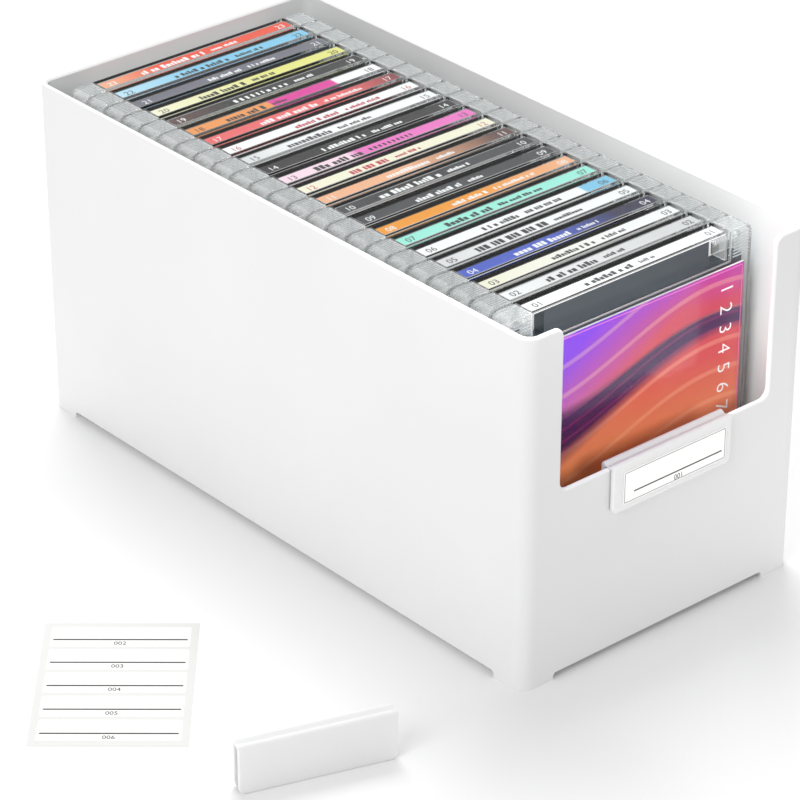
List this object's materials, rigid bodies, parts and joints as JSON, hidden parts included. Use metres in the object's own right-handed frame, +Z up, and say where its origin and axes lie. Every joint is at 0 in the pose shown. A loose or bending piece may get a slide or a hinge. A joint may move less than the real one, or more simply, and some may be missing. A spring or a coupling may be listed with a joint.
{
  "type": "cd storage drawer",
  "caption": "White moulded open-fronted tub on corner feet, with a row of upright jewel cases, a label clip on its sill, a spare clip and a sheet of labels.",
  "frame": {"origin": "middle of the footprint of the whole set (tub, clips and label sheet), on the surface that it stands on", "axes": "+Z up; the tub's open front faces -Y; the loose clip and label sheet lie on the -X side"},
  "size_m": [0.3056, 0.3, 0.151],
  "materials": {
    "drawer_plastic": "fine satin moulding",
    "clip_plastic": "smooth moulding",
    "clear_polystyrene": "clear polished moulding",
    "tray_polystyrene": "dark moulding",
    "disc_polycarbonate": "mirror-backed clear disc",
    "printed_booklet": "coated print",
    "printed_card": "coated print",
    "label_paper": "matt label stock",
    "backing_paper": "release paper"
  },
  "bodies": {
    "drawer": {"drawer": "drawer_plastic"},
    "label_clip": {"label_clip": "clip_plastic", "clip_label": "label_paper"},
    "spare_clip": {"spare_clip": "clip_plastic"},
    "label_sheet": {"label_backing_sheet": "backing_paper", "index_labels": "label_paper"},
    "front_case": {"front_case_lid": "clear_polystyrene", "front_case_base": "clear_polystyrene", "front_case_tray": "tray_polystyrene", "front_case_disc": "disc_polycarbonate", "front_case_booklet": "printed_booklet", "front_case_inlay_card": "printed_card"},
    "case_02": {"case_02_shell": "clear_polystyrene", "case_02_insert": "tray_polystyrene"},
    "case_03": {"case_03_shell": "clear_polystyrene", "case_03_insert": "tray_polystyrene"},
    "case_04": {"case_04_shell": "clear_polystyrene", "case_04_insert": "tray_polystyrene"},
    "case_05": {"case_05_shell": "clear_polystyrene", "case_05_insert": "tray_polystyrene"},
    "case_06": {"case_06_shell": "clear_polystyrene", "case_06_insert": "tray_polystyrene"},
    "case_07": {"case_07_shell": "clear_polystyrene", "case_07_insert": "tray_polystyrene"},
    "case_08": {"case_08_shell": "clear_polystyrene", "case_08_insert": "tray_polystyrene"},
    "case_09": {"case_09_shell": "clear_polystyrene", "case_09_insert": "tray_polystyrene"},
    "case_10": {"case_10_shell": "clear_polystyrene", "case_10_insert": "tray_polystyrene"},
    "case_11": {"case_11_shell": "clear_polystyrene", "case_11_insert": "tray_polystyrene"},
    "case_12": {"case_12_shell": "clear_polystyrene", "case_12_insert": "tray_polystyrene"},
    "case_13": {"case_13_shell": "clear_polystyrene", "case_13_insert": "tray_polystyrene"},
    "case_14": {"case_14_shell": "clear_polystyrene", "case_14_insert": "tray_polystyrene"},
    "case_15": {"case_15_shell": "clear_polystyrene", "case_15_insert": "tray_polystyrene"},
    "case_16": {"case_16_shell": "clear_polystyrene", "case_16_insert": "tray_polystyrene"},
    "case_17": {"case_17_shell": "clear_polystyrene", "case_17_insert": "tray_polystyrene"},
    "case_18": {"case_18_shell": "clear_polystyrene", "case_18_insert": "tray_polystyrene"},
    "case_19": {"case_19_shell": "clear_polystyrene", "case_19_insert": "tray_polystyrene"},
    "case_20": {"case_20_shell": "clear_polystyrene", "case_20_insert": "tray_polystyrene"},
    "case_21": {"case_21_shell": "clear_polystyrene", "case_21_insert": "tray_polystyrene"},
    "case_22": {"case_22_shell": "clear_polystyrene", "case_22_insert": "tray_polystyrene"},
    "case_23": {"case_23_shell": "clear_polystyrene", "case_23_insert": "tray_polystyrene"}
  },
  "joints": [
    {"name": "label_clip_lift", "type": "slide", "parent": "drawer", "child": "label_clip", "axis": [0, 0, 1], "range_m": [0, 0.03]},
    {"name": "spare_clip_lift", "type": "slide", "parent": "drawer", "child": "spare_clip", "axis": [0, 0, 1], "range_m": [0, 0.05]},
    {"name": "label_sheet_lift", "type": "slide", "parent": "drawer", "child": "label_sheet", "axis": [0, 0, 1], "range_m": [0, 0.05]},
    {"name": "front_case_lift", "type": "slide", "parent": "drawer", "child": "front_case", "axis": [0, 0, 1], "range_m": [0, 0.15]},
    {"name": "case_02_lift", "type": "slide", "parent": "drawer", "child": "case_02", "axis": [0, 0, 1], "range_m": [0, 0.15]},
    {"name": "case_03_lift", "type": "slide", "parent": "drawer", "child": "case_03", "axis": [0, 0, 1], "range_m": [0, 0.15]},
    {"name": "case_04_lift", "type": "slide", "parent": "drawer", "child": "case_04", "axis": [0, 0, 1], "range_m": [0, 0.15]},
    {"name": "case_05_lift", "type": "slide", "parent": "drawer", "child": "case_05", "axis": [0, 0, 1], "range_m": [0, 0.15]},
    {"name": "case_06_lift", "type": "slide", "parent": "drawer", "child": "case_06", "axis": [0, 0, 1], "range_m": [0, 0.15]},
    {"name": "case_07_lift", "type": "slide", "parent": "drawer", "child": "case_07", "axis": [0, 0, 1], "range_m": [0, 0.15]},
    {"name": "case_08_lift", "type": "slide", "parent": "drawer", "child": "case_08", "axis": [0, 0, 1], "range_m": [0, 0.15]},
    {"name": "case_09_lift", "type": "slide", "parent": "drawer", "child": "case_09", "axis": [0, 0, 1], "range_m": [0, 0.15]},
    {"name": "case_10_lift", "type": "slide", "parent": "drawer", "child": "case_10", "axis": [0, 0, 1], "range_m": [0, 0.15]},
    {"name": "case_11_lift", "type": "slide", "parent": "drawer", "child": "case_11", "axis": [0, 0, 1], "range_m": [0, 0.15]},
    {"name": "case_12_lift", "type": "slide", "parent": "drawer", "child": "case_12", "axis": [0, 0, 1], "range_m": [0, 0.15]},
    {"name": "case_13_lift", "type": "slide", "parent": "drawer", "child": "case_13", "axis": [0, 0, 1], "range_m": [0, 0.15]},
    {"name": "case_14_lift", "type": "slide", "parent": "drawer", "child": "case_14", "axis": [0, 0, 1], "range_m": [0, 0.15]},
    {"name": "case_15_lift", "type": "slide", "parent": "drawer", "child": "case_15", "axis": [0, 0, 1], "range_m": [0, 0.15]},
    {"name": "case_16_lift", "type": "slide", "parent": "drawer", "child": "case_16", "axis": [0, 0, 1], "range_m": [0, 0.15]},
    {"name": "case_17_lift", "type": "slide", "parent": "drawer", "child": "case_17", "axis": [0, 0, 1], "range_m": [0, 0.15]},
    {"name": "case_18_lift", "type": "slide", "parent": "drawer", "child": "case_18", "axis": [0, 0, 1], "range_m": [0, 0.15]},
    {"name": "case_19_lift", "type": "slide", "parent": "drawer", "child": "case_19", "axis": [0, 0, 1], "range_m": [0, 0.15]},
    {"name": "case_20_lift", "type": "slide", "parent": "drawer", "child": "case_20", "axis": [0, 0, 1], "range_m": [0, 0.15]},
    {"name": "case_21_lift", "type": "slide", "parent": "drawer", "child": "case_21", "axis": [0, 0, 1], "range_m": [0, 0.15]},
    {"name": "case_22_lift", "type": "slide", "parent": "drawer", "child": "case_22", "axis": [0, 0, 1], "range_m": [0, 0.15]},
    {"name": "case_23_lift", "type": "slide", "parent": "drawer", "child": "case_23", "axis": [0, 0, 1], "range_m": [0, 0.15]}
  ]
}
